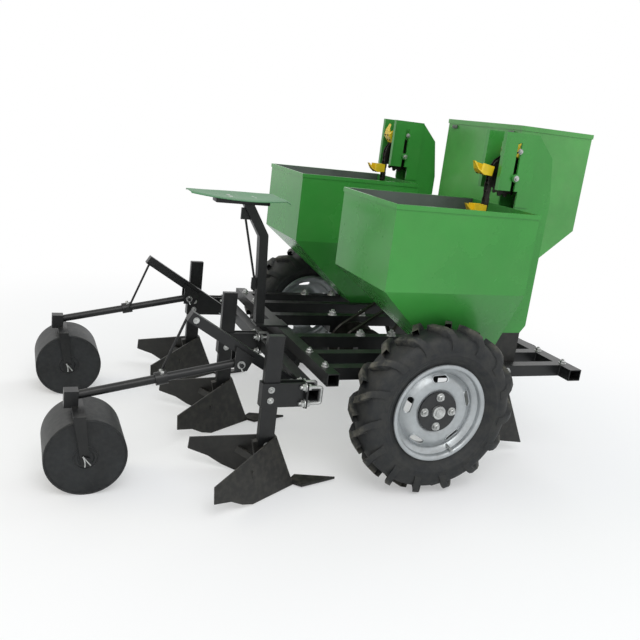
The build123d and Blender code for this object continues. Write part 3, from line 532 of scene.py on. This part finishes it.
# Lift links, roller arms and their pins: bolts through the links' foot, washers and
# split pins on the arm pivots, and a set screw in each sliding sleeve.
arm_x, arm_z = -0.588, 0.366
roller_x, roller_z = -1.038, 0.116
for hand, name in ((1, "left"), (-1, "right")):
    y = hand * row_y
    form = bmesh.new()
    for side in (-1, 1):
        nut(form, at(-0.415, y + side * 0.016, 0.302), (0, side, 0), 0.0100)
    nut(form, at(-0.735, y + hand * 0.016, 0.503), (0, hand, 0), 0.0075)
    piece("link_nuts_" + name, form, zinc, "frame")
    form = bmesh.new()
    for side in (-1, 1):
        turned(form, at(arm_x, y + side * 0.0250, arm_z), (0, side, 0),
               [(20, 0.0, 0.0025, 0.0125, 0.0125)])
        turned(form, at(-0.824, y + side * 0.010, 0.336), (0, side * 0.5, 1.0),
               [(6, 0.0, 0.007, 0.0062, 0.0058)])
    piece("arm_nuts_" + name, form, zinc, "arm_" + name)
    pins = []
    for side in (-1, 1):
        v = y + side * 0.0315
        pins.append([at(arm_x, v, 0.380), at(arm_x, v, arm_z), at(arm_x, v, 0.352),
                     at(-0.583, v + side * 0.003, 0.346)])
        v = y + side * 0.1085
        pins.append([at(-1.048, v, 0.129), at(roller_x, v, roller_z), at(-1.026, v, 0.101)])
        pins.append([at(-1.048, v, 0.129), at(-1.040, v + side * 0.002, 0.115),
                     at(-1.042, v + side * 0.003, 0.098)])
    bent_rod("arm_pins_" + name, pins, 0.0022, zinc, "arm_" + name)

# Press rollers: rolled steel drums with flat ends, a rolled lip and a bearing boss, in
# dull black paint with stuck soil.
roller_grey = paint("roller_grey", (0.011, 0.0125, 0.0135), 0.48, mottle=0.4, cloud_scale=12.0,
                    dent=0.6, grain=180.0, dust_and_sheen=(0.050, 0.050, 0.045), dust_and_sheen_share=0.45, gloss=0.38)
dress(roller_grey, "roller_left", "roller_right")


def ring(form, place, axis, radius, thick, steps=64):
    turn = Matrix.Translation(place) @ Vector(axis).to_track_quat("Z", "Y").to_matrix().to_4x4()
    start = bmesh.ops.create_circle(form, cap_ends=False, segments=8, radius=thick)["verts"]
    bmesh.ops.rotate(form, verts=start, cent=(0, 0, 0),
                     matrix=Matrix.Rotation(math.radians(90.0), 3, "X"))
    bmesh.ops.translate(form, verts=start, vec=(radius, 0.0, 0.0))
    edges = list({e for v in start for e in v.link_edges})
    bmesh.ops.spin(form, geom=start + edges, cent=(0, 0, 0), axis=(0, 0, 1), angle=math.tau,
                   steps=steps, use_merge=True)
    every = set(start)
    grown = True
    while grown:
        more = {e.other_vert(v) for v in every for e in v.link_edges} - every
        every |= more
        grown = bool(more)
    bmesh.ops.transform(form, matrix=turn, verts=list(every))


for hand, name in ((1, "left"), (-1, "right")):
    form = bmesh.new()
    for side in (-1, 1):
        face = at(roller_x, hand * row_y + side * 0.0895, roller_z)
        ring(form, face, (0, side, 0), 0.1125, 0.0030)
        ring(form, face, (0, side, 0), 0.034, 0.0028, steps=40)
        turned(form, at(roller_x, hand * row_y + side * 0.0900, roller_z), (0, side, 0),
               [(24, 0.0, 0.005, 0.024, 0.020)])
    bmesh.ops.recalc_face_normals(form, faces=form.faces[:])
    piece("roller_lips_" + name, form, roller_grey, "press_roller_" + name)

# Seat: a dished pan of pressed sheet with a turned-down rim, in pale green enamel, bolted
# to a steel bracket on the post.
seat_green = paint("seat_green", (0.072, 0.215, 0.100), 0.50, mottle=0.10, cloud_scale=7.0,
                   dent=0.12, dust_and_sheen=(0.16, 0.26, 0.15), dust_and_sheen_share=0.3)
seat_back, seat_front = -0.700, -0.362
seat_edge_z, seat_dip = 0.8385, 0.011
seat_rear_half, seat_middle_pull, seat_front_half = 0.046, 0.392, 0.078
form = bmesh.new()
grid = bmesh.ops.create_grid(form, x_segments=16, y_segments=10, size=1.0)["verts"]
for vert in grid:
    u, v = vert.co.x, vert.co.y
    along = (u + 1.0) / 2.0
    wide = (seat_rear_half * (1.0 - along) ** 2 + seat_middle_pull * along * (1.0 - along)
            + seat_front_half * along ** 2)
    dip = seat_dip * (1.0 - u * u) * (1.0 - 0.6 * v * v)
    lip = 0.012 * max(0.0, (along - 0.94) / 0.06) ** 2 + 0.004 * max(0.0, (abs(v) - 0.8) / 0.2) ** 2
    vert.co = at(seat_back + (seat_front - seat_back) * along, v * wide, seat_edge_z - dip - lip)
bmesh.ops.recalc_face_normals(form, faces=form.faces[:])
bmesh.ops.solidify(form, geom=form.faces[:], thickness=0.003)
rim_edges = [e for e in form.edges if e.is_manifold and e.calc_face_angle(0.0) > 1.0]
bmesh.ops.bevel(form, geom=rim_edges, offset=0.0009, offset_type="OFFSET", segments=2, profile=0.5,
                affect="EDGES", material=-1, clamp_overlap=True)
seat = piece("seat_shell", form, seat_green, "frame", sharp=60.0)
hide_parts("seat_pan")
form = bmesh.new()
bmesh.ops.create_cube(form, size=1.0)
bmesh.ops.scale(form, verts=form.verts[:], vec=(0.190, 0.056, 0.020))
bmesh.ops.bevel(form, geom=form.edges[:], offset=0.003, offset_type="OFFSET", segments=2, profile=0.5,
                affect="EDGES", material=-1)
bmesh.ops.translate(form, verts=form.verts[:], vec=at(-0.515, 0.0, 0.8150))
piece("seat_bracket", form, frame_black, "frame")
form = bmesh.new()
for x in (-0.560, -0.470):
    for y in (0.018, -0.018):
        turned(form, at(x, y, 0.8262), (0, 0, 1), [(14, 0.0, 0.0030, 0.0085, 0.0060)])
piece("seat_bolts", form, zinc, "frame")

# Hitch collars: turned steel rings at the root of each lower link pin, zinc-plated and
# pressed up against the lug.
form = bmesh.new()
for hand in (1, -1):
    turned(form, at(0.656, hand * 0.200, 0.336), (0, hand, 0), [(24, 0.0, 0.006, 0.019, 0.018)])
bmesh.ops.recalc_face_normals(form, faces=form.faces[:])
piece("hitch_collars", form, zinc, "frame")

# Tyres: moulded rubber with fifteen curved lugs a side, rings on the sidewall, and dry
# soil on the lugs' tops.
tyre_y = 0.585
body_radius = 0.263
lug_count = 15
lug_start, lug_step = 79.5, 360.0 / lug_count
rubber = bpy.data.materials.new("tyre_rubber")
rubber.use_nodes = True
tree = rubber.node_tree
shader = tree.nodes["Principled BSDF"]
place = tree.nodes.new("ShaderNodeTexCoord")
centred = tree.nodes.new("ShaderNodeMapping")
centred.inputs["Location"].default_value = (-axle_x, 0.0, -axle_z)
centred.inputs["Scale"].default_value = (1.0, 0.0, 1.0)
reach = tree.nodes.new("ShaderNodeVectorMath")
reach.operation = "LENGTH"
worn = tree.nodes.new("ShaderNodeMapRange")
worn.inputs["From Min"].default_value = 0.258
worn.inputs["From Max"].default_value = 0.276
soil = tree.nodes.new("ShaderNodeTexNoise")
soil.inputs["Scale"].default_value = 28.0
soil.inputs["Detail"].default_value = 7.0
soil.inputs["Roughness"].default_value = 0.7
soil_range = tree.nodes.new("ShaderNodeMapRange")
soil_range.inputs["From Min"].default_value = 0.40
soil_range.inputs["From Max"].default_value = 0.62
stuck = tree.nodes.new("ShaderNodeMath")
stuck.operation = "MULTIPLY"
side_soil = tree.nodes.new("ShaderNodeMath")
side_soil.operation = "MULTIPLY"
side_soil.inputs[1].default_value = 0.16
both = tree.nodes.new("ShaderNodeMath")
both.operation = "MAXIMUM"
black = tree.nodes.new("ShaderNodeMix")
black.data_type = "RGBA"
black.inputs["A"].default_value = (0.0125, 0.0142, 0.0155, 1.0)
black.inputs["B"].default_value = (0.098, 0.093, 0.074, 1.0)
pores = tree.nodes.new("ShaderNodeTexNoise")
pores.inputs["Scale"].default_value = 500.0
bump = tree.nodes.new("ShaderNodeBump")
bump.inputs["Strength"].default_value = 0.5
bump.inputs["Distance"].default_value = 0.0006
tree.links.new(place.outputs["Object"], centred.inputs["Vector"])
tree.links.new(centred.outputs["Vector"], reach.inputs[0])
tree.links.new(reach.outputs["Value"], worn.inputs["Value"])
tree.links.new(place.outputs["Object"], soil.inputs["Vector"])
tree.links.new(place.outputs["Object"], pores.inputs["Vector"])
tree.links.new(soil.outputs[0], soil_range.inputs["Value"])
tree.links.new(soil_range.outputs["Result"], stuck.inputs[0])
tree.links.new(worn.outputs["Result"], stuck.inputs[1])
tree.links.new(soil_range.outputs["Result"], side_soil.inputs[0])
tree.links.new(stuck.outputs[0], both.inputs[0])
tree.links.new(side_soil.outputs[0], both.inputs[1])
tree.links.new(both.outputs[0], black.inputs["Factor"])
tree.links.new(black.outputs["Result"], shader.inputs["Base Color"])
tree.links.new(pores.outputs[0], bump.inputs["Height"])
tree.links.new(bump.outputs["Normal"], shader.inputs["Normal"])
shader.inputs["Roughness"].default_value = 0.62
shader.inputs["Specular IOR Level"].default_value = 0.4

wall_line = ((0.1500, 0.0445), (0.1640, 0.0445), (0.1690, 0.0470), (0.1720, 0.0500), (0.1750, 0.0505),
             (0.1770, 0.0535), (0.1850, 0.0590), (0.1930, 0.0625), (0.1960, 0.0655), (0.1985, 0.0650),
             (0.2010, 0.0640), (0.2100, 0.0650), (0.2200, 0.0648), (0.2300, 0.0625), (0.2390, 0.0580),
             (0.2460, 0.0520), (0.2510, 0.0440), (0.2550, 0.0330), (0.2580, 0.0180), (0.2590, 0.0))
lug_stations = ((-0.0060, 0.0035, 0.2790, 0.0120), (0.0180, -0.0100, 0.2790, 0.0120),
                (0.0340, -0.0200, 0.2787, 0.0122), (0.0470, -0.0320, 0.2730, 0.0128),
                (0.0575, -0.0430, 0.2580, 0.0135), (0.0645, -0.0500, 0.2420, 0.0145),
                (0.0676, -0.0540, 0.2260, 0.0165), (0.0674, -0.0560, 0.2120, 0.0195))
lug_taper, lug_tuck = 0.84, 0.80


def lug_point(y, s, radius):
    return Vector((radius * math.cos(s / body_radius), y, radius * math.sin(s / body_radius)))


def grow_lug(form, hand, turn):
    centre = Matrix.Rotation(math.radians(turn), 4, "Y")
    sections = []
    for y, s, top, wide in lug_stations:
        root = 0.206 if y > 0.06 else 0.245
        root_y = y * lug_tuck if y > 0.055 else y
        sections.append(((root_y, s + wide, root), (root_y, s - wide, root),
                         (y, s - wide * lug_taper, top), (y, s + wide * lug_taper, top)))
    base = [form.verts.new(centre @ lug_point(hand * y, s, r)) for y, s, r in sections[0]]
    face = form.faces.new(base)
    for section in sections[1:]:
        grown = bmesh.ops.extrude_face_region(form, geom=[face])["geom"]
        fresh = [v for v in grown if isinstance(v, bmesh.types.BMVert)]
        old = {v: k for k, v in enumerate(base)}
        order = [None] * 4
        for vert in fresh:
            for edge in vert.link_edges:
                other = edge.other_vert(vert)
                if other in old:
                    order[old[other]] = vert
        bmesh.ops.delete(form, geom=[face], context="FACES_ONLY")
        for vert, (y, s, r) in zip(order, section):
            vert.co = centre @ lug_point(hand * y, s, r)
        base = order
        faces = [f for f in grown if isinstance(f, bmesh.types.BMFace)]
        face = [f for f in faces if all(v in base for v in f.verts)][0]


for hand, name in ((1, "left"), (-1, "right")):
    form = bmesh.new()
    line = [form.verts.new((0.0, y, r)) for r, y in wall_line]
    line += [form.verts.new((0.0, -y, r)) for r, y in wall_line[-2::-1]]
    edges = [form.edges.new(pair) for pair in zip(line, line[1:])]
    bmesh.ops.spin(form, geom=line + edges, cent=(0, 0, 0), axis=(0, 1, 0), angle=math.tau,
                   steps=120, use_merge=True)
    bmesh.ops.remove_doubles(form, verts=form.verts[:], dist=0.00001)
    bmesh.ops.recalc_face_normals(form, faces=form.faces[:])
    bmesh.ops.translate(form, verts=form.verts[:], vec=at(0.0, hand * tyre_y, axle_z))
    carcass = piece("tyre_body_" + name, form, rubber, "wheel_" + name, sharp=60.0)
    form = bmesh.new()
    for number in range(lug_count):
        grow_lug(form, 1, lug_start + lug_step * number)
        grow_lug(form, -1, lug_start + lug_step * (number + 0.5))
    bmesh.ops.recalc_face_normals(form, faces=form.faces[:])
    lug_edges = [e for e in form.edges if e.is_manifold and e.calc_face_angle(0.0) > 0.9]
    bmesh.ops.bevel(form, geom=lug_edges, offset=0.0022, offset_type="OFFSET", segments=2, profile=0.5,
                    affect="EDGES", material=-1, clamp_overlap=True)
    bmesh.ops.translate(form, verts=form.verts[:], vec=at(0.0, hand * tyre_y, axle_z))
    piece("tyre_lugs_" + name, form, rubber, "wheel_" + name, sharp=50.0)
    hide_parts("tyre_" + name)

# Rims: rolled steel rims with a pressed five-vent disc, sprayed silver, a rolled lip on
# each vent, and a black hub plate with four zinc-plated bolts and a ringed axle nut.
rim_silver = paint("rim_silver", (0.42, 0.445, 0.455), 0.33, mottle=0.12, cloud_scale=14.0,
                   dent=0.15, metal=0.55, dust_and_sheen=(0.24, 0.235, 0.21), dust_and_sheen_share=0.35)
hub_black = paint("hub_black", (0.013, 0.014, 0.015), 0.40, mottle=0.3, cloud_scale=20.0,
                  dust_and_sheen=(0.06, 0.058, 0.05), dust_and_sheen_share=0.4)
dress(hub_black, "hub_left", "hub_right")
vent_radius, vent_half, vent_reach, cutter_depth = 0.1080, 0.0098, 0.0165, 0.060
vent_turns = tuple(-22.0 + 72.0 * number for number in range(5))
barrel_line = ((0.1260, 0.0215), (0.1300, 0.0270), (0.1400, 0.0320), (0.1445, 0.0350), (0.1450, 0.0440),
               (0.1462, 0.0490), (0.1500, 0.0520), (0.1550, 0.0532), (0.1598, 0.0515), (0.1612, 0.0480),
               (0.1600, 0.0449), (0.1500, 0.0449), (0.1500, 0.0350), (0.1330, 0.0215))
disc_line = ((0.1265, 0.0195), (0.1235, 0.0210), (0.1165, 0.0262), (0.1085, 0.0322), (0.1020, 0.0356),
             (0.0950, 0.0366), (0.0880, 0.0358), (0.0790, 0.0352), (0.0735, 0.0335), (0.0685, 0.0295),
             (0.0640, 0.0284), (0.0176, 0.0280), (0.0176, 0.0230), (0.0640, 0.0234), (0.0700, 0.0250),
             (0.0760, 0.0290), (0.0880, 0.0310), (0.0990, 0.0310), (0.1060, 0.0280), (0.1160, 0.0215),
             (0.1265, 0.0150))
disc_face_points = 11
lip_radius, lip_gap, lip_points = 0.0024, 0.0012, 20
bolt_circle, wheel_bolt, bolt_face, axle_nut_face = 0.049, 0.0108, 0.6210, 0.6215


def disc_level(radius):
    outer = disc_line[:disc_face_points]
    for (r0, y0), (r1, y1) in zip(outer, outer[1:]):
        if r0 >= radius >= r1:
            return y0 + (y1 - y0) * (r0 - radius) / (r0 - r1)
    return outer[0][1] if radius > outer[0][0] else outer[-1][1]


def spun(form, line):
    verts = [form.verts.new((0.0, y, r)) for r, y in line]
    edges = [form.edges.new(pair) for pair in zip(verts, verts[1:] + verts[:1])]
    bmesh.ops.spin(form, geom=verts + edges, cent=(0, 0, 0), axis=(0, 1, 0), angle=math.tau,
                   steps=120, use_merge=True)


def vent_point(radial, across, turn):
    return Matrix.Rotation(math.radians(turn), 3, "Y") @ Vector((radial, 0.0, across))


for hand, name in ((1, "left"), (-1, "right")):
    cutter = bmesh.new()
    for turn in vent_turns:
        oval = bmesh.ops.create_circle(cutter, cap_ends=True, segments=24, radius=vent_half)["verts"]
        for vert in oval:
            vert.co.y += math.copysign(vent_reach, vert.co.y)
        for vert in thickened(cutter, oval, cutter_depth):
            x, across, depth = vert.co
            spot = vent_point(vent_radius + x, across, turn)
            vert.co = (spot.x, depth, spot.z)
    bmesh.ops.recalc_face_normals(cutter, faces=cutter.faces[:])
    cut_data = bpy.data.meshes.new("vent_cutter")
    cutter.to_mesh(cut_data)
    cutter.free()
    cut = bpy.data.objects.new("vent_cutter", cut_data)
    bpy.context.scene.collection.objects.link(cut)
    form = bmesh.new()
    spun(form, disc_line)
    bmesh.ops.recalc_face_normals(form, faces=form.faces[:])
    disc_data = bpy.data.meshes.new("disc_blank")
    form.to_mesh(disc_data)
    form.free()
    blank = bpy.data.objects.new("disc_blank", disc_data)
    bpy.context.scene.collection.objects.link(blank)
    punch = blank.modifiers.new("punch", "BOOLEAN")
    punch.operation = "DIFFERENCE"
    punch.solver = "EXACT"
    punch.object = cut
    depsgraph = bpy.context.evaluated_depsgraph_get()
    punched = bpy.data.meshes.new_from_object(blank.evaluated_get(depsgraph))
    bpy.data.objects.remove(blank)
    bpy.data.objects.remove(cut)
    form = bmesh.new()
    form.from_mesh(punched)
    bpy.data.meshes.remove(punched)
    spun(form, barrel_line + tuple((r, -y) for r, y in barrel_line[::-1]))
    fresh = [f for f in form.faces if max(math.hypot(v.co.x, v.co.z) for v in f.verts) > 0.1262]
    bmesh.ops.recalc_face_normals(form, faces=fresh)
    if hand < 0:
        bmesh.ops.scale(form, verts=form.verts[:], vec=(1.0, -1.0, 1.0))
        bmesh.ops.reverse_faces(form, faces=form.faces[:])
    bmesh.ops.translate(form, verts=form.verts[:], vec=at(0.0, hand * tyre_y, axle_z))
    wheel = piece("pressed_rim_" + name, form, rim_silver, "wheel_" + name, sharp=42.0)
    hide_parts("rim_" + name)
    runs = []
    for turn in vent_turns:
        loop = []
        for step in range(lip_points):
            a = math.tau * (step + 0.5) / lip_points
            radial = vent_radius + (vent_half + lip_gap) * math.cos(a)
            across = (vent_half + lip_gap) * math.sin(a) + math.copysign(vent_reach, math.sin(a))
            spot = vent_point(radial, across, turn)
            level_y = disc_level(math.hypot(radial, across))
            loop.append(at(spot.x, hand * (tyre_y + level_y), axle_z + spot.z))
        runs.append(loop)
    bent_rod("vent_lips_" + name, runs, lip_radius, rim_silver, "wheel_" + name,
             closed=True)
    form = bmesh.new()
    for angle in (0.0, 90.0, 180.0, 270.0):
        x = bolt_circle * math.cos(math.radians(angle))
        z = bolt_circle * math.sin(math.radians(angle))
        nut(form, at(x, hand * bolt_face, axle_z + z), (0, hand, 0), wheel_bolt)
    turned(form, at(0.0, hand * axle_nut_face, axle_z), (0, hand, 0),
           [(32, 0.0, 0.0090, 0.0225, 0.0215), (6, 0.0085, 0.0125, 0.0160, 0.0140)])
    turned(form, at(0.058, hand * 0.6110, axle_z - 0.119), (0.10, hand, -0.22),
           [(12, 0.0, 0.0260, 0.0042, 0.0036), (10, 0.0260, 0.0340, 0.0052, 0.0048)])
    piece("wheel_bolts_" + name, form, zinc, "wheel_" + name)
